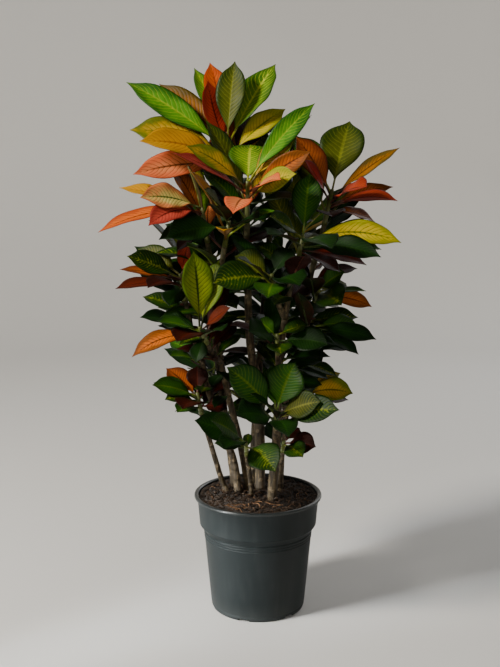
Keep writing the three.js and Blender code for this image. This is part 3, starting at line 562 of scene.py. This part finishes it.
# Shoots: the stem, the height at which a branch leaves it (None at its own end), the apex, the green length,
# and for the leaves that fill it up their number, bearings and size. Then a row for each leaf that is placed:
# where its tip is from the apex, its width, and if they aren't the usual ones its tone, arch and roll.
shoots = {
    "shoot_crown": standing("stem_centre", None, (-56, 0, 874), 62, (3, behind, 165), [
        (14, 45, 142, 56, "olive"), (88, 75, 139, 68, "lime", 0.06), (-34, 115, 145, 50, "orange"),
        (-48, 30, 100, 54, "redOrange", -0.1), (-64, 122, 136, 40, "lime"),
        (-182, 40, 105, 52, "freshGreen", 0.07, -35), (-126, 80, 104, 50, "bronze", 0.1, -25),
        (106, 50, 58, 48, "lemon", 0.1, 20), (75, 120, 50, 61, "maroon"), (92, 140, 40, 55, "maroon"),
        (-175, 0, 20, 68, "goldGreen", 0.16, -30), (-150, -55, 0, 66, "yellow", 0.14, -20),
        (-163, -50, -57, 54, "salmon", 0.1, -35),
    ]),
    "shoot_front_upper": standing("stem_centre", 690, (-19, -60, 806), 72, (3, behind, 150), [
        (117, 25, 133, 42, "freshGreen", 0.08, 45), (5, 70, 62, 76, "lime", 0.2),
        (82, 45, 91, 48, "goldGreen", 0.08, 25), (-105, -20, 60, 42, "goldGreen", 0.14, -35),
        (100, 5, 66, 40, "copper", 0.06, 60), (-124, -45, 48, 36, "rose", 0.1, -15),
        (82, -55, 14, 46, "lemon", 0.1, 50), (55, -90, 5, 42, "salmon", 0.18, 20),
        (-24, -90, -51, 50, "salmon", 0.25), (76, -62, -26, 50, "glossy"),
    ]),
    "shoot_right_upper": standing("stem_right", None, (132, -10, 790), 66, (2, behind, 160), [
        (37, 85, 121, 84, "olive", 0.06), (-63, 85, 95, 60, "lime"), (-65, 20, 92, 52, "amber", 0.08, -30),
        (120, 10, 73, 34, "bronze", 0.06, 10), (-54, -48, 54, 32, "red", 0.06, -50),
        (53, -80, 7, 60, "brick", 0.15, 15), (112, 25, 3, 36, "copper", 0.1, 10),
        (116, -25, -28, 46, "brick", 0.2), (80, 22, -60, 42, "amber", 0.15),
        (-5, -72, -45, 55, "maroon", 0.15),
    ]),
    "shoot_right_front": standing("stem_right_front", None, (77, -90, 715), 58, (3, behind, 130), [
        (13, 50, 104, 54, "deepGreen"), (-60, -50, 36, 46, "flecked", 0.1, -30),
        (170, 5, -14, 46, "lemon", 0.2, 35), (42, -105, -14, 62, "glossy", 0.2),
        (-64, -78, 8, 59, "glossy", 0.12), (132, -42, -33, 48, "glossy", 0.15, 20),
        (110, 0, -52, 44, "rust", 0.1), (66, 12, -66, 51, "maroon", 0.1),
    ]),
    "shoot_left_upper": standing("stem_left_inner", None, (-99, -50, 760), 66, (2, behind, 140), [
        (-102, -62, 20, 52, "cream", 0.15, -35), (-180, -25, -42, 42, "orange", 0.16),
        (-80, -92, -26, 48, "rose", 0.25, -20), (-148, 28, 33, 46, "yellow", 0.12),
        (-92, -25, 38, 40, "maroon", 0.15), (-74, 18, 56, 46, "copper"), (-36, -15, 70, 46, "olive"),
        (-20, 38, 62, 46, "lime"), (-76, -8, -56, 46, "glossy", 0.12), (-46, 8, -78, 46, "maroon", 0.15),
    ]),
    "shoot_centre_upper": standing("stem_left_inner", 600, (-51, -60, 738), 50, (3, allRound, 110), [
        (-42, -38, 56, 53, "olive", 0.08, -20), (-22, -66, 40, 48, "glossy", 0.15),
        (-106, -58, -8, 59, "glossy", 0.12, -25), (52, -52, 8, 55, "glossy", 0.12),
    ]),
    "shoot_left": standing("stem_left", None, (-141, -20, 640), 52, (3, behind, 130), [
        (-80, 45, 40, 50, "olive", 0.08, -25), (17, -10, 56, 37, "redOrange", 0.05, 60),
        (-92, -25, 34, 48, "flecked", 0.08, -30), (-110, 12, 6, 30, "amber"),
        (8, -85, 0, 48, "maroon", 0.12), (-112, -40, -14, 38, "rust", 0.12),
        (-50, -92, -14, 50, "maroon", 0.2), (-16, -62, -50, 46, "glossy", 0.15),
    ]),
    "shoot_left_lower": standing("stem_left_inner", 470, (-103, -96, 555), 50, (2, behind, 100), [
        # the two upright leaves here take the tone that paints the glow of light shining through them
        (-16, 22, 130, 62, "paintedSunGlow", 0.05), (28, 34, 116, 56, "paintedSunGlow", 0.05),
        (55, -32, 40, 30, "rust", 0.08, 40), (-66, -38, 16, 46, "deepGreen", 0.1),
        (-76, 20, 8, 51, "glossy", 0.15), (-34, -82, -3, 56, "maroon", 0.15),
        (42, -56, 4, 51, "glossy", 0.12), (-116, -25, -48, 42, "copper", 0.25, -8),
        (-6, -14, -60, 34, "glossy", 0.1),
    ]),
    "shoot_left_low": standing("stem_left_thin", None, (-112, -20, 420), 44, (1, behind, 95), [
        (2, 28, 42, 42, "maroon"), (26, 46, 44, 42), (-78, -50, 26, 40, "deepGreen", 0.1, -30),
        (-62, 50, 26, 46, "amber", 0.1), (-80, 5, 20, 40, "deepGreen", 0.12, -25),
        (48, 64, 18, 48, None, 0.1), (-58, -22, -8, 46, None, 0.2), (-40, -78, -10, 55, "maroon", 0.2),
        (44, 40, -30, 51, None, 0.1), (-34, -52, -24, 44, "deepGreen", 0.12),
    ]),
    "shoot_front": standing("stem_right_front", 330, (30, -100, 410), 56, (2, allRound, 110), [
        (-30, -35, 22, 20), (-45, -8, 30, 20), (-6, 55, 66, 51), (40, 30, 76, 73, "deepGreen", 0.08, 25),
        (-86, 5, 74, 64, "deepGreen", 0.1, -40), (68, -30, 30, 55, "olive", 0.1, 35),
        (97, -50, 24, 57, "flecked", 0.1, 30), (-90, -70, 10, 66, "glossy", 0.12, -20),
        (95, -65, -6, 68, "glossy", 0.12, 30), (20, -100, -24, 51, "glossy", 0.2),
    ]),
    "shoot_front_low": standing("stem_front_thin", None, (-23, -80, 343), 32, (2, allRound, 80), [
        (-60, -58, 56, 55, "deepGreen", 0.1, -35), (-90, -28, 48, 57, "glossy", 0.1, -30),
        (-38, -76, 10, 51, "glossy", 0.25), (52, -80, -30, 64, "flecked", 0.2, 20),
        (-56, 0, -2, 42, None, 0.1),
    ]),
    "shoot_right_low": standing("stem_right", 320, (89, 30, 413), 44, (3, behind, 110), [
        (10, 20, 48, 51), (70, 36, 25, 40, "goldGreen", 0.15), (90, -6, -4, 50, "goldGreen", 0.2, 30),
        (46, -26, -34, 46, None, 0.1), (85, 26, -26, 40, "maroon", 0.1),
    ]),
    "shoot_right_lowest": standing("stem_right", 268, (49, 2, 322), 26, (1, behind, 85), [
        (26, 22, 22, 40), (60, -30, -2, 46, None, 0.12, 35), (46, -58, -12, 44, None, 0.12, 20),
        (-30, 44, 16, 46, None, 0.1),
    ]),
    "shoot_centre": standing("stem_right_front", 560, (22, -90, 647), 48, (3, allRound, 105), [
        (38, 25, 42, 51), (-64, 15, 30, 53, None, 0.1, -30), (-104, -40, -10, 62, "flecked", 0.15, -30),
        (46, -80, -10, 68, "glossy", 0.2), (-8, -82, -30, 59, None, 0.15), (-50, 8, -24, 46, None, 0.1),
    ]),
    "shoot_centre_low": standing("stem_right_front", 460, (33, -62, 537), 42, (3, allRound, 95), [
        (30, 22, 42, 46), (-36, 10, 24, 37, None, 0.1, -20), (-50, -56, 14, 62, "glossy", 0.12, -25),
        (80, -50, 8, 57, None, 0.12, 20), (5, -66, -24, 48, None, 0.15),
    ]),
    "shoot_right": standing("stem_right", 505, (110, 16, 606), 36, (3, allRound, 130), [
        (46, -30, 36, 48, "deepGreen", 0.1, 40), (56, 42, 6, 46, "olive", 0.1),
        (42, -98, -14, 62, "flecked", 0.15, 30), (102, 6, -26, 38, "copper", 0.15, 25),
    ]),
    "shoot_right_mid": standing("stem_right", 460, (100, -28, 546), 44, (3, allRound, 100), [
        (84, 28, -6, 40, "deepGreen", 0.12, 25), (112, -18, -22, 40, "glossy", 0.1, 20),
        (80, -44, -38, 36, "glossy", 0.1), (14, -72, -10, 51, None, 0.15),
    ]),
    "shoot_back_top": standing("stem_back", None, (34, 92, 838), 58, (8, allRound, 118), []),
    "shoot_back_left_top": standing("stem_back_left", None, (-84, 86, 800), 56, (7, (60, 260), 138), []),
    "shoot_back_right": standing("stem_back", 610, (84, 128, 706), 52, (7, (-40, 150), 150), []),
    "shoot_back_left": standing("stem_back_left", 520, (-124, 124, 616), 48, (7, (50, 240), 135), []),
    "shoot_back_mid": standing("stem_back", 440, (30, 146, 540), 48, (7, (-10, 190), 130), []),
    "shoot_back_left_low": standing("stem_back_left", 330, (-88, 112, 426), 44, (6, (60, 230), 110), []),
    "shoot_back_low": standing("stem_back", 320, (20, 120, 396), 42, (6, (-20, 170), 105), []),
}


# points every few mm along a smooth curve through the given ones (centripetal)
def smoothRoute(points, step):
    ends = [points[0] * 2 - points[1], *points, points[-1] * 2 - points[-2]]
    dense = []
    for before, start, end, after in zip(ends, ends[1:], ends[2:], ends[3:]):
        gaps = [sqrt((b - a).length) for a, b in ((before, start), (start, end), (end, after))]
        leave = (start - before) / gaps[0] - (end - before) / (gaps[0] + gaps[1]) + (end - start) / gaps[1]
        arrive = (end - start) / gaps[1] - (after - start) / (gaps[1] + gaps[2]) + (after - end) / gaps[2]
        leave, arrive = leave * gaps[1], arrive * gaps[1]
        count = max(2, ceil((end - start).length / step))
        for i in range(count):
            t = i / count
            rest = (start * -3 + end * 3 - leave * 2 - arrive) + (start * 2 - end * 2 + leave + arrive) * t
            dense.append(start + leave * t + rest * t * t)
    return dense + [points[-1]]


def standShoot(shoot, last):
    apex = Vector(shoot["apex"])
    shoot["axis"] = (apex - last).normalized()
    shoot["foot"] = apex - shoot["axis"] * shoot["length"]
    return shoot["foot"]


def stemRoute(name):
    points = [Vector(p) for p in stems[name]["path"]]
    foot = Vector((points[0].x, points[0].y, mix["edgeHeight"] - wood["depth"]))
    for shoot in shoots.values():
        if shoot["stem"] == name and shoot["from"] is None:
            points.append(standShoot(shoot, points[-1]))
    return smoothRoute([foot] + points, wood["step"])


def branchRoute(shoot, route):
    start = next(p for p in route if p.z >= shoot["from"])
    apex = Vector(shoot["apex"])
    out, rise = wood["bend"]
    bend = start.lerp(apex, out)
    bend.z = start.z + rise * (apex.z - start.z)
    return smoothRoute([start, bend, standShoot(shoot, bend)], wood["step"])


mixDraw = random.Random(mix["seed"])
makeBed()
makeChips(mixDraw)
makeFibres(mixDraw)
print("potting mix made")


# bark: grey-brown, with pale streaks up the stem, cracks and round leaf scars
def barkMaterial():
    material, place, shader = newMaterial("crotonBark", Roughness=0.8)
    drawn = place.mapped(1, 1, 0.1)
    streaks = drawn.grain(210, 4, 0.6)
    blotches = place.grain(46, 4, 0.6)
    cracks = drawn.grain(620, 3, 0.6)
    height = place.part("Z")
    scar = place.attribute("scar", "Fac")
    layers = (
        ("light", streaks.step(0.4, 0.66)),
        ("pale", blotches.step(0.52, 0.68) * streaks.step(0.42, 0.58) * 0.8),
        ("crack", cracks.step(0.46, 0.3)),
        ("young", height.step(0.5, 0.8) * 0.5),
        ("scar", scar.step(0.12, 0.4) * 0.45),
        ("scarMiddle", scar.step(0.62, 0.9) * 0.8),
    )
    tint = colour(*linear(wood["dark"]))
    for name, amount in layers:
        tint = amount.mixed(tint, colour(*linear(wood[name])))
    paint(shader, Base_Color=tint, Normal=(cracks * 0.6 + streaks + scar).bumped(0.8, 0.0009))
    return material


def barkTube(bm, route, radii, sides, draw, scarLayer, knots=()):
    rings = tube(bm, [p * mm for p in route], [r * mm for r in radii], sides)
    turn = draw.uniform(0, 6.28)
    scars = []
    travelled = 0
    for a, b, radius in zip(route, route[1:], radii):
        travelled += (b - a).length
        if travelled > wood["scarSpacing"] * draw.uniform(0.8, 1.2):
            travelled = 0
            turn += radians(goldenTurn)
            scars.append((a + level(turn) * radius) * mm)
    for height, bearing in knots:
        i = next(i for i, p in enumerate(route) if p.z >= height)
        scars.append((route[i] + level(radians(bearing)) * radii[i]) * mm)
    for i, vert in enumerate(rings):
        centre = route[i // sides] * mm
        out = vert.co - centre
        drawn = Vector((vert.co.x * 260, vert.co.y * 260, vert.co.z * 60))
        lump = wood["lump"] * (noise.noise(vert.co * 70) + noise.noise(drawn))
        near = min(((vert.co - s).length for s in scars), default=1)
        mark = exp(-((near / (wood["scarSize"] * mm)) ** 2))
        vert.co = centre + out * (1 + lump + wood["scarRise"] * mark)
        vert[scarLayer] = mark


woodRoutes = {}


def makeWood():
    finish = barkMaterial()
    for number, (name, stem) in enumerate(stems.items()):
        draw = random.Random(number)
        bm = bmesh.new()
        scarLayer = bm.verts.layers.float.new("scar")
        route = stemRoute(name)
        low, high = stem["radius"]
        count = len(route) - 1
        radii = []
        for i in range(count + 1):
            share = i / count
            radii.append((low + (high - low) * share ** 0.8) * (1 + wood["flare"] * max(0, 1 - share * 9)))
        barkTube(bm, route, radii, wood["sides"], draw, scarLayer, stem.get("knots", ()))
        woodRoutes[name] = [route]
        for shoot in shoots.values():
            if shoot["stem"] == name and shoot["from"] is not None:
                branch = branchRoute(shoot, route)
                thick, thin = wood["branchRadius"]
                radii = [thick + (thin - thick) * i / (len(branch) - 1) for i in range(len(branch))]
                barkTube(bm, branch, radii, wood["branchSides"], draw, scarLayer)
                woodRoutes[name].append(branch)
        bmesh.ops.recalc_face_normals(bm, faces=bm.faces)
        piece = pieceFrom(bm, name + "_bark", [finish])
        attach(piece, "root")
        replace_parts(piece, name)


makeWood()
print("stems made")


# the same sum as in the part's source, so that its filled leaves come out the same
def drawNumbers(seed):
    full = 0xFFFFFFFF
    state = seed

    def draw():
        nonlocal state
        state = (state + 0x6D2B79F5) & full
        t = ((state ^ (state >> 15)) * (state | 1)) & full
        t = ((t + (((t ^ (t >> 7)) * (t | 61)) & full)) ^ t) & full
        return (t ^ (t >> 14)) / (full + 1)

    return draw


def filledLeaves(number, shoot):
    draw = drawNumbers(number + 1)
    count, (low, high), size = shoot["fill"]
    rows = []
    for i in range(count):
        age = (i + 0.5) / count
        bearing = radians(low + (((i * goldenTurn + 360 * draw()) % 360) / 360) * (high - low))
        rise = radians(62 - 80 * age + 12 * (draw() - 0.5))
        vigour = 0.75 + 0.35 * sin(pi * min(1, age + 0.25))
        reach = size * (0.82 + 0.22 * draw()) * vigour
        flat = reach * cos(rise)
        to = (flat * cos(bearing), flat * sin(bearing), reach * sin(rise))
        rows.append(leafRow(*to, reach * 0.36, None, 0.06 + 0.16 * age, 20 * (draw() - 0.5)))
    return rows


sideTurns = range(-leaf["sideReach"], leaf["sideReach"] + 1, leaf["turnStep"])
riseTurns = range(-leaf["riseReach"], leaf["riseReach"] + 1, leaf["turnStep"])
turns = [(side, rise) for side in sideTurns for rise in riseTurns]
turns.sort(key=lambda turn: abs(turn[0]) + abs(turn[1]))


def turned(chord, side, rise):
    out = Quaternion(up, radians(side)) @ chord
    return Quaternion(up.cross(levelled(out)), radians(-rise)) @ out


# The solid leaves were turned until they were clear of each other. The tips of the CAD node tell how far:
# a vertex there lies half a thickness from the right tip. The least turned are tried first.
def foundTip(root, chord, tips):
    best = None
    for size in leaf["sizes"]:
        for side, rise in turns:
            tip = root + turned(chord, side, rise) * size
            miss = abs(tips.find(tip * mm)[2] / mm - leaf["cadHalfThickness"])
            if best is None or miss < best[0]:
                best = (miss, tip)
            if miss < leaf["nearEnough"]:
                return tip
    return best[1] if best[0] < leaf["farthest"] else None


def smoothStep(value, low, high):
    share = min(1, max(0, (value - low) / (high - low)))
    return share * share * (3 - 2 * share)


# A leaf's run from root to tip and its blade. A point of the blade: share runs up it from 0 to 1,
# edge across it from -1 to 1.
class LeafShape:
    def __init__(self, root, tip, row, draw):
        chord = tip - root
        self.root, self.tip, self.row = root, tip, row
        self.outward = levelled(chord)
        self.side = up.cross(self.outward)
        lift = chord.normalized().cross(self.side)
        self.control = root.lerp(tip, 0.5) + lift * row["arch"] * chord.length
        self.phase = draw.uniform(0, 6.28)
        self.wave = leaf["wave"] * row["width"] * draw.uniform(0.4, 1.3)
        self.waves = draw.uniform(1.4, 2.8)

    def middle(self, station):
        rest = 1 - station
        return self.root * rest * rest + self.control * 2 * station * rest + self.tip * station * station

    def frame(self, station):
        leave, arrive = self.control - self.root, self.tip - self.control
        along = (leave * (1 - station) + arrive * station).normalized()
        angle = self.row["roll"] + leaf["toLight"] * self.outward.x
        turn = Quaternion(along, radians(angle) * smoothStep(station, 0.05, 0.4))
        across = turn @ self.side
        return across, along.cross(across)

    def half(self, share):
        low, high = leaf["taper"]
        widest = low / (low + high)
        outline = (share / widest) ** low * ((1 - share) / (1 - widest)) ** high
        outline *= 1 - 0.5 * smoothStep(share, 0.8, 1)  # the drawn-out tip
        return max(self.row["width"] / 2 * outline, leaf["stalkRadius"] * (1 - share) ** 4)

    def point(self, share, edge):
        station = leaf["stalk"] + (1 - leaf["stalk"]) * share
        across, normal = self.frame(station)
        half = self.half(share)
        fold = radians(leaf["fold"])
        rise = half * sin(fold) * (abs(edge) ** 1.3 - 0.16 * edge ** 4)
        ripple = sin(self.phase + 6.28 * self.waves * share + (1.2 if edge > 0 else 0))
        rise += self.wave * edge * edge * sin(pi * share) * ripple
        return self.middle(station) + across * (edge * half * cos(fold)) + normal * rise


# the colours that each leaf carries; their alpha says how strongly its flecks, veins and margin show
leafLayers = ("bladeTint", "veinTint", "edgeTint")


def leafMaterial(name, under):
    material, place, shader = newMaterial(name, Specular_IOR_Level=0.13)
    uv = place.make("UVMap", uv_map="UVMap")
    edge, along = abs(uv.part("X") - 0.5) * 2, uv.part("Y")
    cloud = place.grain(34, 4, 0.62)
    fine = place.grain(320, 3, 0.6)
    broken = place.grain(120, 3, 0.7)
    blade, veins, margin = (place.attribute(layer) for layer in leafLayers)
    fleckAmount, veinAmount, marginAmount = (place.attribute(layer, "Alpha") for layer in leafLayers)

    # side veins leave the midrib forwards and bend towards the tip
    phase = along * leaf["veins"] - edge * 2.1 - edge * edge * 1.1 + cloud * 1.5
    offset = abs(phase.maths("FRACT", phase) - 0.5) * 2
    sideVein = offset.step(0.8, 0.98) * edge.step(1.0, 0.5) * along.step(0.0, 0.1)
    rib = edge.step(0.11, 0.03) * along.step(1.05, 0.6)

    # the middle of the blade keeps its tone, the margins and the tip turn
    spread = (edge * edge * 0.55 + along * along * 0.45 + cloud * 1.1 - 0.62).step(0.0, 0.5) * marginAmount
    tint = spread.mixed(blade, margin)
    patch = (broken * 0.85 + offset * 0.15 - edge * 0.26).step(0.48, 0.58)
    tint = (patch * fleckAmount).mixed(tint, veins)
    tint = ((edge * 0.35 + along).step(0.3, 0.0) * 0.5).mixed(tint, veins)
    strong = sideVein * broken.step(0.24, 0.46) * 0.95 + offset.step(0.5, 1.0) * 0.22 + rib * 1.2
    strong = strong * veinAmount
    tint = strong.maths("MINIMUM", strong, 1).mixed(tint, veins)
    tint = (edge.step(0.92, 0.985) * 0.75).mixed(tint, margin.shaded(0.35))
    tint = tint.shaded(0.7 + cloud * 0.6)
    if under:
        tint = place.make("HueSaturation", {"Saturation": 0.75, "Value": 0.7, "Color": tint})
        tint = (cloud.step(0.3, 0.7) * 0.45).mixed(tint, colour(*linear(leaf["underTint"])))
        height = sideVein + rib * 2 + fine * 0.2
    else:
        height = cloud * 0.4 - sideVein * 0.5 - rib - offset.step(0.1, 1.0) * 0.8 + fine * 0.12
    rough = (0.5 if under else 0.38) + fine * 0.1 + broken * 0.1
    paint(shader, Base_Color=tint, Roughness=rough, Normal=height.bumped(0.3, 0.0008))
    return material


def stalkMaterial():
    material, place, shader = newMaterial("leafStalk", Roughness=0.45)
    cloud = place.grain(160, 3)
    tint = (cloud * 0.6).mixed(place.attribute("stalkTint"), colour(*linear(leaf["stalkTint"])))
    paint(shader, Base_Color=tint, Normal=cloud.bumped(0.4, 0.0006))
    return material


def pickTone(row, shoot, draw):
    if row["tone"]:
        return row["tone"]
    height = shoot["apex"][2]
    band = "lower" if height < toneHeights[0] else "middle" if height < toneHeights[1] else "upper"
    return draw.choice(fillTones[band])


def varied(tone, draw):
    lift = draw.uniform(0.82, 1.16)
    return [min(1, c * lift * draw.uniform(0.93, 1.07)) for c in linear(tone)]


class Foliage:
    def __init__(self, name):
        self.name = name
        self.blades = bmesh.new()
        self.blades.loops.layers.uv.new("UVMap")
        self.layers = [self.blades.verts.layers.float_color.new(layer) for layer in leafLayers]
        self.stalks = bmesh.new()
        self.stalkLayer = self.stalks.verts.layers.float_color.new("stalkTint")

    def addLeaf(self, shape, tone, draw):
        made = bmesh.ops.create_grid(
            self.blades, x_segments=leaf["across"], y_segments=leaf["along"], size=1, calc_uvs=True,
        )["verts"]
        *tints, amounts = tones[tone]
        values = [(*varied(tint, draw), amount) for tint, amount in zip(tints, amounts)]
        for vert in made:
            vert.co = shape.point((vert.co.y + 1) / 2, -vert.co.x) * mm
            for layer, value in zip(self.layers, values):
                vert[layer] = value
        bmesh.ops.remove_doubles(self.blades, verts=made, dist=2e-5)
        stalk, radius = leaf["stalk"], leaf["stalkRadius"]
        points, radii = [], []
        for k in range(12):
            station = 0.96 * k / 11
            share = max(0, station - stalk) / (1 - stalk)
            thick = radius * (1.1 - 0.8 * share)
            sunk = (leaf["ribDepth"] + 0.55 * thick) * smoothStep(station, stalk * 0.6, stalk * 1.6)
            points.append((shape.middle(station) - shape.frame(station)[1] * sunk) * mm)
            radii.append(thick * mm)
        tint = (*varied(tints[1], draw), 1)
        for vert in tube(self.stalks, points, radii, leaf["stalkSides"]):
            vert[self.stalkLayer] = tint

    def addShootStem(self, foot, apex):
        shares = [k / 8 for k in range(9)]
        low, high = shootStem["footRadius"], shootStem["budRadius"]
        points = [foot.lerp(apex, share) * mm for share in shares]
        radii = [(low + (high - low) * share) * mm for share in shares]
        tint = (*linear(shootStem["tint"]), 1)
        for vert in tube(self.stalks, points, radii, shootStem["sides"]):
            vert[self.stalkLayer] = tint

    def finish(self, finishes, slot):
        if not self.blades.verts:
            return None
        topFinish, underFinish, stalkFinish = finishes
        leaves = pieceFrom(self.blades, self.name + "_leaves", [topFinish, underFinish])
        thick = leaves.modifiers.new("thickness", "SOLIDIFY")
        thick.thickness = leaf["thickness"] * mm
        thick.offset = 0
        thick.material_offset = 1
        bmesh.ops.recalc_face_normals(self.stalks, faces=self.stalks.faces)
        stalks = pieceFrom(self.stalks, self.name + "_stalks", [stalkFinish])
        for made in (leaves, stalks):
            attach(made, "root")
        return leaves


# which cells of the air are taken, so that the leaves on the bare wood keep clear of the others
room = {"cell": 8, "share": 0.1, "turns": (0, 25, -25, 50, -50, 75, -75), "tilts": (0, 14, -14, 28, -28)}
taken = set()


def cells(shape, rows, columns, first=0):
    found = []
    for i in range(first, rows):
        for j in range(columns):
            point = shape.point((i + 0.5) / rows, -1 + 2 * (j + 0.5) / columns)
            found.append(tuple(floor(c / room["cell"]) for c in point))
    return found


def makeShoots(finishes):
    missed = 0
    for number, (name, shoot) in enumerate(shoots.items()):
        draw = random.Random(100 + number)
        node = frame["nodes"][name]
        tips = kdtree.KDTree(len(node.data.vertices))
        for i, vert in enumerate(node.data.vertices):
            tips.insert(vert.co, i)
        tips.balance()
        rows = shoot["leaves"] + filledLeaves(number, shoot)
        spacing = (shoot["length"] - shootStem["lowest"]) / len(rows)
        foliage = Foliage(name)
        apex = Vector(shoot["apex"])
        for i, row in enumerate(rows):
            middle = apex - shoot["axis"] * (shootStem["highest"] + i * spacing)
            root = middle + levelled(row["to"]) * shootStem["rootOut"]
            tone = pickTone(row, shoot, draw)
            tip = foundTip(root, apex + row["to"] - root, tips)
            if tip is None:
                missed += 1
                continue
            shape = LeafShape(root, tip, row, draw)
            foliage.addLeaf(shape, tone, draw)
            taken.update(cells(shape, 24, 8))
        foliage.addShootStem(shoot["foot"] + shoot["axis"] * shootStem["gap"], apex)
        slot = next(part["material_slot"] for part in frame["record"]["subparts"] if part["node"] == name)
        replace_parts(foliage.finish(finishes, slot), name)
    print("leaves without a place in the solids:", missed)


# leaves along the bare wood, which fill the plant's shaded middle
inner = {
    "lowest": 385, "lowestBehind": 330, "reach": 330, "spacing": 12, "rise": (34, -22), "seed": 300,
    "size": (84, 128), "sizeHeights": (400, 720), "width": (0.36, 0.46), "fromBox": 0.02,
    "bearings": {
        "stem_left": (80, 215), "stem_left_inner": (70, 200), "stem_centre": (10, 170),
        "stem_right_front": (-35, 80), "stem_right": (-40, 110),
    },
    "tones": ("glossy", "glossy", "flecked", "maroon", "glossy", "deepGreen"),
}


def innerLeaf(point, share, turn, draw):
    low, high = inner["size"]
    size = (low + (high - low) * smoothStep(point.z, *inner["sizeHeights"])) * draw.uniform(0.8, 1.1)
    start, end = inner["rise"]
    rise = start + (end - start) * share + draw.uniform(-9, 9)
    width = size * draw.uniform(*inner["width"])
    row = leafRow(0, 0, 0, width, None, draw.uniform(0.08, 0.2), draw.uniform(-12, 12))
    seed = draw.random()
    best = None
    for tilt in room["tilts"]:
        for swing in room["turns"]:
            bearing, lift = radians(turn + swing), radians(rise + tilt)
            tip = point + (level(bearing) * cos(lift) + up * sin(lift)) * size
            shape = LeafShape(point, tip, row, random.Random(seed))
            spots = cells(shape, 9, 3, 1)
            hits = sum(spot in taken for spot in spots) / len(spots)
            if best is None or hits < best[0]:
                best = (hits, shape)
            if hits == 0:
                return shape
    return best[1] if best[0] < room["share"] else None


def makeInnerLeaves(finishes):
    total = 0
    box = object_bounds()
    for number, (name, routes) in enumerate(woodRoutes.items()):
        draw = random.Random(inner["seed"] + number)
        foliage = Foliage(name)
        turn = draw.uniform(0, 360)
        lowest = inner["lowestBehind"] if "back" in name else inner["lowest"]
        low, high = inner["bearings"].get(name, (0, 360))
        for route in routes:
            travelled = gap = 0
            for a, b in zip(route[::-1], route[-2::-1]):
                travelled += (a - b).length
                gap += (a - b).length
                if gap < inner["spacing"]:
                    continue
                if a.z < lowest or travelled > inner["reach"]:
                    break
                gap = 0
                turn += goldenTurn
                heading = low + (turn % 360) / 360 * (high - low)
                shape = innerLeaf(a, travelled / inner["reach"], heading, draw)
                if shape is None or not inBox(shape, box):
                    continue
                foliage.addLeaf(shape, draw.choice(inner["tones"]), draw)
                taken.update(cells(shape, 20, 7))
                total += 1
        foliage.finish(finishes, "lower_leaves")
    print("leaves along the wood:", total)


def inBox(shape, box):
    tip, gap = shape.tip * mm, inner["fromBox"]
    return all(box[0][k] + gap < tip[k] < box[1][k] - gap for k in range(3))


leafFinishes = (leafMaterial("leafTop", False), leafMaterial("leafUnder", True), stalkMaterial())
makeShoots(leafFinishes)
print("shoots made")
makeInnerLeaves(leafFinishes)


# studio: a pale floor that sweeps up all round, a key light from the upper left, a weak fill from the right,
# a small narrow light for the pot's left side, and one for the back. A light's row is its place, the height
# that it looks at, its size, power, tint and spread.
studio = {
    "floorRadius": 2600, "wallRise": 2600, "bend": 900, "bendSteps": 12, "steps": 96,
    "floorTint": (0.72, 0.71, 0.69), "sky": (0.62, 0.62, 0.62), "skyStrength": 0.17,
    "lights": {
        "key": ((-2.05, -1.05, 2.35), 0.7, 0.7, 125, (1, 0.95, 0.86), 180),
        "fill": ((1.9, -1.8, 1.2), 0.5, 1.6, 2, (0.93, 0.96, 1), 180),
        "pot": ((-1.02, -0.62, 0.2), 0.1, 0.16, 0.95, (0.92, 0.98, 1), 26),
        "back": ((1.5, 2.3, 2), 0.6, 1.8, 22, (0.96, 0.98, 1), 180),
    },
}


def makeFloor():
    material = newMaterial("paleFloor", Roughness=0.7, Base_Color=colour(*studio["floorTint"]))[0]
    radius, bend, count = studio["floorRadius"], studio["bend"], studio["bendSteps"]
    section = [(0, 0), (radius, 0)]
    for k in range(1, count + 1):
        turn = pi / 2 * k / count
        section.append((radius + bend * sin(turn), bend * (1 - cos(turn))))
    section.append((radius + bend, studio["wallRise"]))
    bm = spun(section, studio["steps"])
    bmesh.ops.reverse_faces(bm, faces=bm.faces)
    piece = pieceFrom(bm, "floor", [material])


# an area light that looks at a height on the plant's axis
def makeLight(name, place, aimHeight, size, power, tint, spread):
    data = bpy.data.lights.new(name, "AREA")
    data.shape = "DISK"
    data.size = size
    data.energy = power
    data.color = tint
    data.spread = radians(spread)
    light = bpy.data.objects.new(name, data)
    light.location = place
    light.visible_camera = False
    light.rotation_euler = (up * aimHeight - Vector(place)).to_track_quat("-Z", "Y").to_euler()
    scene.collection.objects.link(light)


makeFloor()
for name, settings in studio["lights"].items():
    makeLight(name, *settings)
world = bpy.data.worlds.new("studio")
world.use_nodes = True
sky = world.node_tree.nodes["Background"]
sky.inputs["Color"].default_value = colour(*studio["sky"])
sky.inputs["Strength"].default_value = studio["skyStrength"]
scene.world = world
print("studio made")
